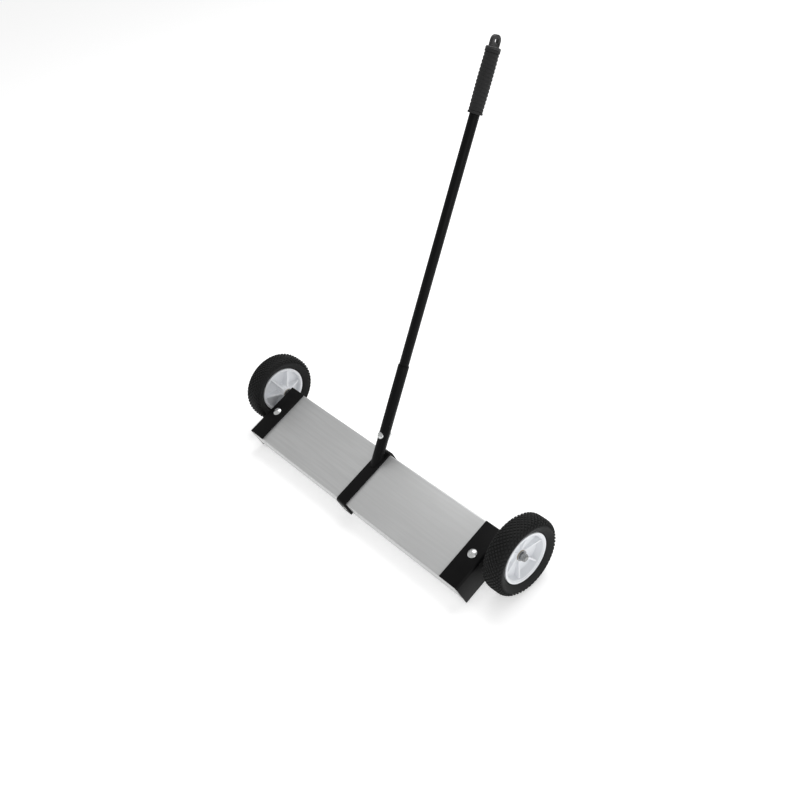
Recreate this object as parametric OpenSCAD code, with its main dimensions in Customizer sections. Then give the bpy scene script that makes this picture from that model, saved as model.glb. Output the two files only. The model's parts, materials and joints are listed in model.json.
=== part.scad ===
// Magnetic nail sweeper: a magnet housing between two wheels, pushed by a fixed handle.
// It stands on its tyres and on the front corners of its end brackets.
// Deck frame: X along the housing, Y to the rear, Z out of the deck, origin mid-deck.

/* [Housing] */
// Length over both end brackets
body_len = 750; // [600:10:900]
// Depth of the deck from front edge to rear edge
deck_depth = 152; // [140:1:170]
// Height of the folded cover
housing_h = 50; // [46:1:56]
// Thickness of the cover and tray sheet
sheet_t = 1.5; // [1:0.1:2]
// Outer radius of the cover's folds
fold_r = 3; // [2.5:0.5:5]

/* [End brackets] */
// Width of the flange that lies on the deck
flange_w = 51.5; // [45:0.5:60]
// How far the side plate hangs below the deck
leg_drop = 63.5; // [58:0.5:70]
// Thickness of the angle steel
angle_t = 4; // [3:0.5:5]
// Outer radius of the bracket's bend
bend_r = 7; // [6:0.5:9]

/* [Magnets] */
// Blocks in the row
magnet_count = 5; // [3:1:5]
// Length of one block
magnet_len = 120; // [80:1:125]
// Depth of one block, front to rear
magnet_depth = 60; // [50:1:66]
// Space between neighbouring blocks
magnet_gap = 8; // [2:1:10]
// Thickness of the backing plate
backing_t = 4; // [3:0.5:5]
// Thickness of a pole bar
pole_t = 6; // [4:0.5:8]

/* [Wheels] */
// Outer radius of the tyre
tyre_r = 89; // [80:1:95]
// Width of the tyre
tyre_w = 52; // [46:1:54]
// Radius of the tyre's shoulders
shoulder_r = 15; // [12:1:17]
// Height of the slope from the rim to the tyre's full width
bead_h = 9; // [6:1:12]
// Radius where the tyre sits on the rim
rim_r = 59; // [54:1:62]
// Width of the rim
rim_w = 36; // [32:1:38]
// Ribs on each side of the hub's web
rib_count = 6; // [5:1:8]
// Distance of the axle in front of the deck's rear edge
axle_inset = 15; // [13.5:0.5:20]
// Distance of the axle below the deck
axle_drop = 13.5; // [13:0.5:16]
// Distance from the side plate to the middle of the tyre
wheel_offset = 48.7; // [47:0.1:52]
// Radius of the axle bolt
axle_r = 6; // [5:0.5:6]
// Radial play of the bushing on the axle
running_play = 0.05; // [0.02:0.01:0.1]

/* [Handle] */
// Angle between the handle and the deck
handle_angle = 40.8; // [35:0.1:50]
// Where the handle's axis meets the saddle, behind mid-deck
handle_y = 46.5; // [40:0.1:50]
// Length from the saddle to the top of the end cap
handle_len = 940; // [800:5:1100]
// Outer radius of the handle tube
tube_r = 11; // [9:0.5:12]
// Wall of the handle tube
tube_wall = 1.5; // [1:0.1:2]
// Outer radius of the socket
socket_r = 12.7; // [12:0.1:14]
// Length of the socket along the handle
socket_len = 235; // [150:5:260]
// Where the socket bolt crosses the handle
socket_bolt_s = 64; // [50:1:80]
// Radius of the hand grip
grip_r = 16; // [14:0.5:18]
// Length of the hand grip
grip_len = 125; // [100:5:150]
// Width of the saddle bar
saddle_w = 29; // [26:0.5:34]
// Thickness of the saddle bar
saddle_t = 6; // [5:0.5:8]
// How far the saddle's legs hang below the deck
saddle_drop = 44; // [38:1:46]

/* [Hanging hole] */
// Radius of the hole in the end cap
hang_r = 5.5; // [4:0.5:6]
// Thickness of the end cap's tongue
tongue_t = 8; // [6:0.5:10]

/* [Hidden] */
$fn = 96;

paint = "#1c1c1e";
sheet_silver = "#b4b6b8";
zinc = "#c6c8ca";
steel = "#8d9094";
rubber = "#262728";
hub_grey = "#d3d5d8";
bronze = "#8f7a52";
ferrite = "#3b3c40";
grip_black = "#1a1a1a";

// Deck and stance
half_depth = deck_depth / 2;
half_len = body_len / 2;
axle_y = half_depth - axle_inset;
tip_back = axle_y + half_depth;
tip_drop = leg_drop - axle_drop;
tip_reach = sqrt(tip_back * tip_back + tip_drop * tip_drop);
pitch = asin(tyre_r / tip_reach) - atan2(tip_drop, tip_back);

// Where the front-most and the rear-most points stand, measured from the axle
front_y = -(tip_back + saddle_t) * cos(pitch) - (axle_drop + saddle_t / 2) * sin(pitch);
rise = handle_angle + pitch;
rear_y = (handle_y - axle_y) * cos(pitch) - (axle_drop + saddle_t) * sin(pitch)
       + handle_len * cos(rise) + hang_r * sin(rise);
centre_y = (front_y + rear_y) / 2;

// Inside the housing, measured down from the deck
plate_in = half_len - angle_t;
cover_len = 2 * (plate_in - (bend_r - angle_t) - 0.3);
wall_in = half_depth - sheet_t;
tray_top = -housing_h + sheet_t;
tray_lip = 12;
spacer_len = 20;
backing_top = -sheet_t - spacer_len;
backing_bottom = backing_top - backing_t;
magnet_h = backing_bottom - tray_top;
magnet_pitch = magnet_len + magnet_gap;
row_len = magnet_count * magnet_pitch - magnet_gap;
pole_gap = 0.3;
backing_depth = magnet_depth + 2 * (pole_t + pole_gap) + 10;

// Fasteners
deck_bolt_x = half_len - flange_w / 2;
deck_bolt_y = 2.4;
deck_bolt_r = 5;
deck_head_r = 10.5;
deck_head_h = 5;
deck_nut_r = 9.2;
deck_nut_h = 8;
washer_t = 2;
hole_play = 0.3;
rivet_r = 1.6;
rivet_head_r = 3.2;
rivet_head_h = 1.4;
rivet_z = tray_top + 6;
rivet_x = [-300, -120, 120, 300];
m6_r = 3;
m6_nut_r = 5.7;
m6_nut_h = 5;
saddle_screw_z = -24;
sink_r = 6;
sink_h = 3.2;
socket_head_r = 8;
socket_head_h = 3.6;

// Wheel stack, measured out from the side plate's outer face
axle_head_r = 10.4;
axle_head_h = 7.5;
axle_nut_r = 10.4;
jam_nut_h = 7;
axle_washer_r = 12;
axle_washer_t = 2.5;
end_play = 0.3;
bush_r = 9;
bush_len = 14;
bush_flange_r = 12;
bush_flange_t = 1.5;
boss_r = 14;
hub_in = jam_nut_h + axle_washer_t + end_play + bush_flange_t;
hub_out = wheel_offset + 3.3;
outer_washer_x = hub_out + bush_flange_t + end_play;
lock_nut_x = outer_washer_x + axle_washer_t;
lock_nut_h = 10;
axle_end = lock_nut_x + lock_nut_h + 1.5;
web_t = 5;
web_x = -6;
rim_wall = 7;
rib_t = 4;

// The hub, measured out from the middle of the wheel
boss_in = hub_in - wheel_offset;
boss_out = hub_out - wheel_offset;
rim_bore_r = rim_r - rim_wall;

// Handle, measured along its axis from the top of the saddle
slip_bore_r = tube_r + 0.1;
tube_start = 30;
tongue_len = 30;
collar_len = 6;
tube_end = handle_len - tongue_len;
grip_start = tube_end - grip_len;
tongue_r = 12;
hang_s = handle_len - tongue_r;
plug_len = 25;

// Puts what is drawn in the deck frame into the standing frame
module standing() {
  translate([0, -centre_y, tyre_r])
    rotate([pitch, 0, 0])
      translate([0, -axle_y, axle_drop])
        children();
}

// Local +Z runs up the handle, local -Y is its front face
module on_handle() {
  standing() translate([0, handle_y, saddle_t]) rotate([handle_angle - 90, 0, 0]) children();
}

// Local +Z runs outwards along the right axle from the side plate's outer face
module on_axle(side) {
  standing()
    mirror([side < 0 ? 1 : 0, 0, 0])
      translate([half_len, axle_y, -axle_drop])
        rotate([0, 90, 0])
          children();
}

// Extrudes a section drawn in Y and Z along X
module along_x(len) {
  rotate([90, 0, 90]) linear_extrude(height = len, center = true) children();
}

// A ring along +Z
module ring(r, bore, h) {
  difference() {
    cylinder(r = r, h = h);
    translate([0, 0, -1]) cylinder(r = bore, h = h + 2);
  }
}

// A hexagon nut along +Z, r over its corners
module nut(r, bore, h) {
  difference() {
    cylinder(r = r, h = h, $fn = 6);
    translate([0, 0, -1]) cylinder(r = bore, h = h + 2);
  }
}

// A domed bolt head of radius r and height h on the XY plane
module dome(r, h) {
  ball_r = (r * r + h * h) / (2 * h);
  intersection() {
    translate([0, 0, h - ball_r]) sphere(r = ball_r);
    cylinder(r = r, h = h);
  }
}

// A block w wide that hangs h below y = 0, with rounded top corners
module round_top(w, h, r) {
  translate([-w / 2, -h]) square([w, h - r]);
  translate([-w / 2 + r, -r]) square([w - 2 * r, r]);
  for (side = [-1, 1])
    translate([side * (w / 2 - r), -r]) circle(r = r);
}

// The same block with only its right top corner rounded, drawn to the right of x = 0
module round_corner(w, h, r) {
  translate([0, -h]) square([w, h - r]);
  translate([0, -r]) square([w - r, r]);
  translate([w - r, -r]) circle(r = r);
}

// ---- Housing ----

module deck_cover() {
  color(sheet_silver) standing() difference() {
    along_x(cover_len) difference() {
      round_top(deck_depth, housing_h, fold_r);
      translate([0, -sheet_t]) round_top(2 * wall_in, housing_h, fold_r - sheet_t);
    }
    for (side = [-1, 1])
      translate([side * deck_bolt_x, deck_bolt_y, -10])
        cylinder(r = deck_bolt_r + hole_play, h = 20);
    for (x = rivet_x)
      translate([x, 0, rivet_z]) rotate([90, 0, 0])
        cylinder(r = rivet_r, h = 2 * deck_depth, center = true);
    translate([0, 0, saddle_screw_z]) rotate([90, 0, 0])
      cylinder(r = m6_r + hole_play, h = 2 * deck_depth, center = true);
  }
}

module bottom_tray() {
  lip_y = wall_in - 0.05;
  color(sheet_silver) standing() difference() {
    along_x(cover_len - 4) translate([0, -housing_h]) mirror([0, 1]) difference() {
      round_top(2 * lip_y, tray_lip, fold_r);
      translate([0, -sheet_t]) round_top(2 * (lip_y - sheet_t), tray_lip, fold_r - sheet_t);
    }
    for (x = rivet_x)
      translate([x, 0, rivet_z]) rotate([90, 0, 0])
        cylinder(r = rivet_r, h = 2 * deck_depth, center = true);
  }
}

module tray_rivets() {
  color(zinc) standing()
    for (x = rivet_x, side = [-1, 1])
      translate([x, side * half_depth, rivet_z]) rotate([-90 * side, 0, 0]) {
        dome(rivet_head_r, rivet_head_h);
        translate([0, 0, -2 * sheet_t - 0.05]) cylinder(r = rivet_r, h = 2 * sheet_t + 0.1);
        translate([0, 0, -2 * sheet_t - 1.5]) cylinder(r = rivet_r + 0.8, h = 1.45);
      }
}

module backing_plate() {
  color(steel) standing() difference() {
    translate([-deck_bolt_x - 12, -backing_depth / 2, backing_bottom])
      cube([2 * deck_bolt_x + 24, backing_depth, backing_t]);
    for (side = [-1, 1])
      translate([side * deck_bolt_x, deck_bolt_y, backing_bottom - 1])
        cylinder(r = deck_bolt_r + hole_play, h = backing_t + 2);
  }
}

module magnet_blocks() {
  color(ferrite) standing()
    for (i = [0 : magnet_count - 1])
      translate([-row_len / 2 + i * magnet_pitch, -magnet_depth / 2, tray_top])
        cube([magnet_len, magnet_depth, magnet_h]);
}

module pole_bar(side) {
  color(steel) standing()
    translate([0, side * (magnet_depth / 2 + pole_gap + pole_t / 2), tray_top + magnet_h / 2])
      cube([row_len, pole_t, magnet_h], center = true);
}
module front_pole_bar() { pole_bar(-1); }
module rear_pole_bar() { pole_bar(1); }

module spacer_tubes() {
  color(steel) standing()
    for (side = [-1, 1])
      translate([side * deck_bolt_x, deck_bolt_y, backing_top])
        ring(deck_bolt_r + 4, deck_bolt_r + hole_play, spacer_len);
}

// ---- End brackets ----

module bracket(side) {
  color(paint) standing() mirror([side < 0 ? 1 : 0, 0, 0]) difference() {
    translate([half_len - flange_w, 0, angle_t]) rotate([90, 0, 0])
      linear_extrude(height = deck_depth, center = true) difference() {
        round_corner(flange_w, leg_drop + angle_t, bend_r);
        translate([-1, -angle_t])
          round_corner(flange_w - angle_t + 1, leg_drop + angle_t, bend_r - angle_t);
      }
    translate([deck_bolt_x, deck_bolt_y, -1]) cylinder(r = deck_bolt_r + hole_play, h = angle_t + 2);
    translate([half_len - 2 * angle_t, axle_y, -axle_drop]) rotate([0, 90, 0])
      cylinder(r = axle_r + hole_play, h = 4 * angle_t);
  }
}
module left_bracket() { bracket(-1); }
module right_bracket() { bracket(1); }

module deck_bolts() {
  shank = angle_t + sheet_t + spacer_len + backing_t + washer_t + deck_nut_h + 2;
  color(zinc) standing()
    for (side = [-1, 1])
      translate([side * deck_bolt_x, deck_bolt_y, angle_t]) {
        dome(deck_head_r, deck_head_h);
        translate([0, 0, -shank]) cylinder(r = deck_bolt_r, h = shank + 1);
      }
}

module deck_washers() {
  color(zinc) standing()
    for (side = [-1, 1])
      translate([side * deck_bolt_x, deck_bolt_y, backing_bottom - washer_t])
        ring(deck_bolt_r + 5, deck_bolt_r + hole_play, washer_t);
}

module deck_nuts() {
  color(zinc) standing()
    for (side = [-1, 1])
      translate([side * deck_bolt_x, deck_bolt_y, backing_bottom - washer_t - deck_nut_h])
        nut(deck_nut_r, deck_bolt_r, deck_nut_h);
}

// ---- Handle ----

module handle_saddle() {
  over = deck_depth + 2 * saddle_t;
  color(paint) standing() difference() {
    along_x(saddle_w) difference() {
      translate([0, saddle_t]) round_top(over, saddle_drop + saddle_t, saddle_t + fold_r);
      round_top(deck_depth, 2 * saddle_drop, fold_r);
    }
    translate([0, 0, saddle_screw_z]) rotate([90, 0, 0])
      cylinder(r = m6_r + hole_play, h = 2 * deck_depth, center = true);
    for (side = [-1, 1])
      translate([0, side * (half_depth + saddle_t), saddle_screw_z]) rotate([90 * side, 0, 0])
        translate([0, 0, -0.01]) cylinder(r1 = sink_r + 0.1, r2 = m6_r, h = sink_h);
  }
}

module saddle_screws() {
  shank = saddle_t + sheet_t + m6_nut_h + 2;
  color(zinc) standing()
    for (side = [-1, 1])
      translate([0, side * (half_depth + saddle_t), saddle_screw_z]) rotate([90 * side, 0, 0]) {
        cylinder(r1 = sink_r, r2 = m6_r, h = sink_h);
        cylinder(r = m6_r, h = shank);
      }
}

module saddle_nuts() {
  color(zinc) standing()
    for (side = [-1, 1])
      translate([0, side * wall_in, saddle_screw_z]) rotate([90 * side, 0, 0])
        nut(m6_nut_r, m6_r, m6_nut_h);
}

module handle_socket() {
  color(paint) difference() {
    on_handle() difference() {
      translate([0, 0, -40]) ring(socket_r, slip_bore_r, socket_len + 40);
      translate([0, 0, socket_bolt_s]) rotate([90, 0, 0])
        cylinder(r = m6_r + hole_play, h = 4 * socket_r, center = true);
    }
    standing() translate([-50, -100, -60 + saddle_t]) cube([100, 300, 60]);
  }
}

module handle_tube() {
  color(paint) on_handle() difference() {
    translate([0, 0, tube_start]) ring(tube_r, tube_r - tube_wall, tube_end - tube_start);
    translate([0, 0, socket_bolt_s]) rotate([90, 0, 0])
      cylinder(r = m6_r + hole_play, h = 4 * socket_r, center = true);
  }
}

module socket_bolt() {
  back = socket_r + sheet_t + m6_nut_h + 2;
  color(zinc) on_handle() translate([0, 0, socket_bolt_s]) rotate([90, 0, 0]) {
    translate([0, 0, socket_r]) dome(socket_head_r, socket_head_h);
    translate([0, 0, -back]) cylinder(r = m6_r, h = back + socket_r + 1);
  }
}

module socket_washer() {
  color(zinc) on_handle() translate([0, socket_r, socket_bolt_s]) rotate([-90, 0, 0])
    ring(socket_head_r, m6_r + hole_play, sheet_t);
}

module socket_nut() {
  color(zinc) on_handle() translate([0, socket_r + sheet_t, socket_bolt_s]) rotate([-90, 0, 0])
    nut(m6_nut_r, m6_r, m6_nut_h);
}

module hand_grip() {
  edge_r = 3;
  color(grip_black) on_handle() translate([0, 0, grip_start]) rotate_extrude()
    union() {
      translate([slip_bore_r, 0]) square([grip_r - edge_r - slip_bore_r, grip_len]);
      translate([slip_bore_r, edge_r]) square([grip_r - slip_bore_r, grip_len - 2 * edge_r]);
      for (z = [edge_r, grip_len - edge_r])
        translate([grip_r - edge_r, z]) circle(r = edge_r);
    }
}

module end_cap() {
  color(paint) on_handle() difference() {
    union() {
      translate([0, 0, tube_end]) cylinder(r = grip_r, h = collar_len);
      translate([0, 0, tube_end - plug_len]) cylinder(r = tube_r - tube_wall, h = plug_len + 1);
      translate([-tongue_t / 2, -tongue_r, tube_end + 1])
        cube([tongue_t, 2 * tongue_r, hang_s - tube_end - 1]);
      translate([0, 0, hang_s]) rotate([0, 90, 0])
        cylinder(r = tongue_r, h = tongue_t, center = true);
    }
    translate([0, 0, hang_s]) rotate([0, 90, 0])
      cylinder(r = hang_r, h = 3 * tongue_t, center = true);
  }
}

// ---- Wheels ----

module axle_bolt(side) {
  color(zinc) on_axle(side) {
    translate([0, 0, -angle_t - axle_head_h]) cylinder(r = axle_head_r, h = axle_head_h, $fn = 6);
    translate([0, 0, -angle_t - 1]) cylinder(r = axle_r, h = axle_end + angle_t + 1);
  }
}
module left_axle_bolt() { axle_bolt(-1); }
module right_axle_bolt() { axle_bolt(1); }

module axle_jam_nuts() {
  color(zinc)
    for (side = [-1, 1])
      on_axle(side) nut(axle_nut_r, axle_r, jam_nut_h);
}

module axle_washers() {
  color(zinc)
    for (side = [-1, 1], x = [jam_nut_h, outer_washer_x])
      on_axle(side) translate([0, 0, x]) ring(axle_washer_r, axle_r, axle_washer_t);
}

module axle_lock_nuts() {
  color(zinc)
    for (side = [-1, 1])
      on_axle(side) translate([0, 0, lock_nut_x]) nut(axle_nut_r, axle_r, lock_nut_h);
}

// Puts what is drawn around +Z at the middle of a wheel
module in_wheel(side) {
  on_axle(side) translate([0, 0, wheel_offset]) children();
}

module tyre(side) {
  neck_r = tyre_r - shoulder_r;
  color(rubber) in_wheel(side) rotate_extrude($fn = 180)
    union() {
      polygon([[rim_r, -rim_w / 2], [rim_r + bead_h, -tyre_w / 2], [neck_r, -tyre_w / 2],
               [neck_r, tyre_w / 2], [rim_r + bead_h, tyre_w / 2], [rim_r, rim_w / 2]]);
      translate([rim_r, shoulder_r - tyre_w / 2])
        square([tyre_r - rim_r, tyre_w - 2 * shoulder_r]);
      for (s = [-1, 1])
        translate([neck_r, s * (tyre_w / 2 - shoulder_r)]) circle(r = shoulder_r);
    }
}

module hub_rim(side) {
  color(hub_grey) in_wheel(side) translate([0, 0, -rim_w / 2]) ring(rim_r, rim_bore_r, rim_w);
}

module hub_web(side) {
  color(hub_grey) in_wheel(side) translate([0, 0, web_x]) ring(rim_bore_r, boss_r, web_t);
}

module hub_boss(side) {
  color(hub_grey) in_wheel(side) translate([0, 0, boss_in])
    ring(boss_r, bush_r, boss_out - boss_in);
}

// Each rib is two fins, one on each face of the web, trimmed to the boss and to the rim
module hub_ribs(side) {
  web_top = web_x + web_t;
  outer_fin = [[0, web_top], [rim_r, web_top], [rim_r, rim_w / 2 - 4], [0, boss_out - 1]];
  inner_fin = [[0, boss_in + 6], [rim_r, 3 - rim_w / 2], [rim_r, web_x], [0, web_x]];
  color(hub_grey) in_wheel(side)
    for (i = [0 : rib_count - 1], fin = [outer_fin, inner_fin])
      rotate([0, 0, 360 / rib_count * (i + 0.5)]) intersection() {
        rotate([90, 0, 0]) linear_extrude(height = rib_t, center = true) polygon(fin);
        translate([0, 0, -tyre_r]) ring(rim_bore_r, boss_r, 2 * tyre_r);
      }
}

// A flanged bushing along +Z, its flange under the XY plane
module bushing() {
  difference() {
    union() {
      cylinder(r = bush_r, h = bush_len);
      translate([0, 0, -bush_flange_t]) cylinder(r = bush_flange_r, h = bush_flange_t + 0.01);
    }
    translate([0, 0, -5]) cylinder(r = axle_r + running_play, h = bush_len + 10);
  }
}

module inner_bushing(side) {
  color(bronze) on_axle(side) translate([0, 0, hub_in]) bushing();
}
module outer_bushing(side) {
  color(bronze) on_axle(side) translate([0, 0, hub_out]) mirror([0, 0, 1]) bushing();
}

module left_tyre() { tyre(-1); }
module left_hub_rim() { hub_rim(-1); }
module left_hub_web() { hub_web(-1); }
module left_hub_boss() { hub_boss(-1); }
module left_hub_ribs() { hub_ribs(-1); }
module left_inner_bushing() { inner_bushing(-1); }
module left_outer_bushing() { outer_bushing(-1); }
module right_tyre() { tyre(1); }
module right_hub_rim() { hub_rim(1); }
module right_hub_web() { hub_web(1); }
module right_hub_boss() { hub_boss(1); }
module right_hub_ribs() { hub_ribs(1); }
module right_inner_bushing() { inner_bushing(1); }
module right_outer_bushing() { outer_bushing(1); }

deck_cover();
bottom_tray();
tray_rivets();
backing_plate();
magnet_blocks();
front_pole_bar();
rear_pole_bar();
spacer_tubes();
left_bracket();
right_bracket();
deck_bolts();
deck_washers();
deck_nuts();
handle_saddle();
saddle_screws();
saddle_nuts();
handle_socket();
handle_tube();
socket_bolt();
socket_washer();
socket_nut();
hand_grip();
end_cap();
left_axle_bolt();
right_axle_bolt();
axle_jam_nuts();
axle_washers();
axle_lock_nuts();
left_tyre();
left_hub_rim();
left_hub_web();
left_hub_boss();
left_hub_ribs();
left_inner_bushing();
left_outer_bushing();
right_tyre();
right_hub_rim();
right_hub_web();
right_hub_boss();
right_hub_ribs();
right_inner_bushing();
right_outer_bushing();
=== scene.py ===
import json
from math import asin, atan2, cos, pi, radians, sin, tan

import bmesh
import bpy
from bpy.props import FloatProperty, FloatVectorProperty, IntProperty, PointerProperty
from mathutils import Matrix, Vector


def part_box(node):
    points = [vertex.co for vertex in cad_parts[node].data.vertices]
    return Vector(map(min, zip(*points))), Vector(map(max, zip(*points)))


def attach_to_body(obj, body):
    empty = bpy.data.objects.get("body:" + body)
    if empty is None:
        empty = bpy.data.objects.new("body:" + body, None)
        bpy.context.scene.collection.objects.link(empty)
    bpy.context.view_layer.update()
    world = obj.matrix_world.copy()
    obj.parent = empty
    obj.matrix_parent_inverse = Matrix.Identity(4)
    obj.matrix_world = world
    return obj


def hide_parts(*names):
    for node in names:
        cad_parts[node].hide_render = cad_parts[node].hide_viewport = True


bl_info = {
    "name": "Magnetic Nail Sweeper",
    "version": (1, 0, 0),
    "blender": (4, 5, 0),
    "location": "View3D > Sidebar > Sweeper",
    "description": "Builds a wheeled magnetic nail sweeper round its packed frame",
    "category": "Object",
}

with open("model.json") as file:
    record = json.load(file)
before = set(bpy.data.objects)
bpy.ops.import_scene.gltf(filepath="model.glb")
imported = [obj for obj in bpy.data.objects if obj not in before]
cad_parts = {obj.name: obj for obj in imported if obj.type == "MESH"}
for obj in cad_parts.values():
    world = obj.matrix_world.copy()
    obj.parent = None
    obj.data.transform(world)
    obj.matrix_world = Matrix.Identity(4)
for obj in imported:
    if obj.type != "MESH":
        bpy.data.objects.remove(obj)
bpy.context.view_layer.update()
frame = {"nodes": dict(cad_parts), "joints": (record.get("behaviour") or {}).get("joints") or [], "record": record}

MM = 0.001
SIDES = {-1: "left", 1: "right"}


# ---- Spaces: each piece is modelled in the space of the part that it sits on ----


def extent(node, space=Matrix.Identity(4), side=0):
    """Lowest and highest corners of a CAD node in a space; a side of -1 or 1 keeps its left or right half."""
    inverse = space.inverted()
    spots = [v.co for v in frame["nodes"][node].data.vertices]
    spots = [inverse @ spot for spot in spots if side * spot.x >= 0]
    low = Vector([min(spot[axis] for spot in spots) for axis in range(3)])
    high = Vector([max(spot[axis] for spot in spots) for axis in range(3)])
    return low, high


def heights(node, space, side=0):
    """Lowest and highest Z of a CAD node in a space."""
    return tuple(corner.z for corner in extent(node, space, side))


def mount(name):
    return next(m for m in frame["record"]["mounts"] if m["name"] == name)


def deck_space():
    """X along the housing, Y to the rear, Z out of the deck, from the middle of the deck."""
    down = mount("magnet_face")["axis"]
    turn = Matrix.Rotation(atan2(down[1], -down[2]), 4, "X")
    low, high = extent("deck_cover", turn)
    return turn @ Matrix.Translation((0, (low.y + high.y) / 2, high.z))


def handle_space():
    """Z up the handle from the top of the saddle, -Y its front face."""
    low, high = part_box("handle_tube")
    middle = (low + high) / 2
    along = (Vector(mount("hang_hole")["pos_m"]) - middle).normalized()
    start = DECK.inverted() @ middle
    step = DECK.to_3x3().inverted() @ along
    saddle_top = extent("handle_saddle", DECK)[1].z
    foot = DECK @ (start + step * ((saddle_top - start.z) / step.z))
    return Matrix.Translation(foot) @ Matrix.Rotation(-asin(along.y), 4, "X")


def wheel_space(side):
    """Z outwards along the axle from the middle of the tyre."""
    joint = next(j for j in frame["joints"] if j["child"] == SIDES[side] + "_wheel")
    return Matrix.Translation(joint["pos_m"]) @ Matrix.Rotation(side * pi / 2, 4, "Y")


DECK = deck_space()
HANDLE = handle_space()
WHEEL = {side: wheel_space(side) for side in SIDES}


# ---- Sizes and colours that a user would change ----


def length(name, description, default):
    return FloatProperty(name=name, description=description, default=default, min=0,
                         subtype="DISTANCE", unit="LENGTH", precision=4)


def turn_angle(name, description, default):
    return FloatProperty(name=name, description=description, default=radians(default),
                         subtype="ANGLE", unit="ROTATION")


def colour(name, description, default):
    return FloatVectorProperty(name=name, description=description, default=default,
                               subtype="COLOR", size=3, min=0, max=1)


def place_of(name, description, default):
    return FloatVectorProperty(name=name, description=description, default=default,
                               subtype="TRANSLATION", unit="LENGTH")


def count_of(name, description, default, least, most):
    return IntProperty(name=name, description=description, default=default, min=least, max=most)


def strength_of(name, description, default, most, unit="NONE"):
    return FloatProperty(name=name, description=description, default=default, min=0, max=most,
                         unit=unit)


class SweeperSizes(bpy.types.PropertyGroup):
    """Sizes that the CAD frame leaves open"""
    cover_fold: length("Cover fold", "Outer radius of the cover's folds", 0.003)
    sheet: length("Sheet", "Thickness of the cover and tray", 0.0015)
    bracket_bend: length("Bracket bend", "Outer radius of the bracket's bend", 0.007)
    bracket_steel: length("Bracket steel", "Thickness of the angle", 0.004)
    saddle_bend: length("Saddle bend", "Outer radius of the saddle's bends", 0.009)
    saddle_steel: length("Saddle steel", "Thickness of the saddle bar", 0.006)
    leg_corner: length("Leg corner", "Radius on the ends of the saddle's legs", 0.005)
    steel_edge: length("Steel edge", "Width of the eased edges of painted steel", 0.0007)
    weld_bead: length("Weld bead", "Radius of the bead round the socket's foot", 0.0018)
    thread_pitch: length("Thread pitch", "Distance between thread crests", 0.00175)
    tread_depth: length("Tread depth", "Height of the tyre's lugs", 0.0024)
    tread_gap: length("Tread gap", "Width of the grooves between lugs", 0.0019)
    tread_pitches: count_of("Tread pitches", "Diamonds round the tyre in one row", 54, 24, 90)
    tread_rows: count_of("Tread rows", "Diamonds across the tread", 6, 3, 9)
    shoulder: length("Shoulder", "Radius of the tyre's shoulders", 0.015)
    axle: length("Axle", "Radius of the axle bolts", 0.006)
    washer: length("Washer", "Thickness of the axle washers", 0.0025)
    bush_flange: length("Bushing flange", "Thickness of a bushing's flange", 0.0015)
    shoulder_turn: turn_angle("Shoulder turn", "How far the tread wraps round the shoulders", 75)
    tube_wall: length("Tube wall", "Wall of the handle tube", 0.0015)
    boss_bore: length("Boss bore", "Radius of the hub's bore", 0.009)
    rim_lip: length("Rim lip", "Depth of the rim from its edge to its dish", 0.007)
    rib_width: length("Rib width", "Width of a hub rib", 0.004)
    ribs: count_of("Ribs", "Ribs in each hub", 6, 3, 12)
    left_ribs: turn_angle("Left ribs", "How far the left hub's ribs are turned", 34.4)
    right_ribs: turn_angle("Right ribs", "How far the right hub's ribs are turned", 38.6)
    grip_rings: count_of("Grip rings", "Rings moulded round the hand grip", 15, 5, 24)


class SweeperColours(bpy.types.PropertyGroup):
    """Colours of the finishes"""
    aluminium: colour("Aluminium", "Brushed sheet", (0.57, 0.574, 0.573))
    paint: colour("Paint", "Black powder coat", (0.0016, 0.0016, 0.0018))
    zinc: colour("Zinc", "Bright plated fasteners", (0.74, 0.75, 0.76))
    # Darker zinc for the axle hardware: painted shade standing for the shade in the hub's dish round these parts
    dull_zinc: colour("Dull zinc", "Worn plating of the axle nuts", (0.30, 0.305, 0.31))
    steel: colour("Steel", "Mill finish steel", (0.42, 0.43, 0.44))
    ferrite: colour("Ferrite", "Ceramic magnets", (0.05, 0.05, 0.055))
    rubber: colour("Rubber", "Tyres", (0.016, 0.0165, 0.0165))
    hub: colour("Hub", "Moulded hubs", (0.79, 0.805, 0.83))
    bronze: colour("Bronze", "Sintered bushings", (0.42, 0.35, 0.25))
    grip: colour("Grip", "Rubber hand grip", (0.010, 0.010, 0.0105))
    cap: colour("Cap", "End cap and nylon inserts", (0.014, 0.014, 0.015))
    floor: colour("Floor", "Studio floor", (0.86, 0.86, 0.86))


class SweeperStage(bpy.types.PropertyGroup):
    """Camera and studio light"""
    camera: place_of("Camera", "Where the camera stands", (1.3261, -0.9918, 1.5453))
    aim: place_of("Aim", "Point in the middle of the view", (-0.018, -0.0807, 0.2033))
    roll: turn_angle("Roll", "How far the camera leans about its view", -11.355)
    lens: FloatProperty(name="Lens", default=41.506, min=10, max=200, unit="CAMERA",
                        description="Focal length in millimetres")
    surround: strength_of("Surround", "Brightness of the white surround", 0.55, 5)
    floor_glow: strength_of("Floor glow", "Light of its own that keeps the floor pale", 0.42, 2)
    key: strength_of("Key", "Power of the soft box behind and above", 60.0, 1000, "POWER")
    fill: strength_of("Fill", "Power of the soft box at the right", 16.0, 1000, "POWER")


# ---- Modelling ----


def take(obj):
    """Deselects everything, then selects one object and makes it active."""
    bpy.ops.object.select_all(action="DESELECT")
    obj.select_set(True)
    bpy.context.view_layer.objects.active = obj
    return obj


def edit(obj, kind="FACE"):
    take(obj)
    bpy.ops.object.mode_set(mode="EDIT")
    bpy.ops.mesh.select_mode(type=kind)
    bpy.ops.mesh.select_all(action="DESELECT")


def leave():
    bpy.ops.object.mode_set(mode="OBJECT")


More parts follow.
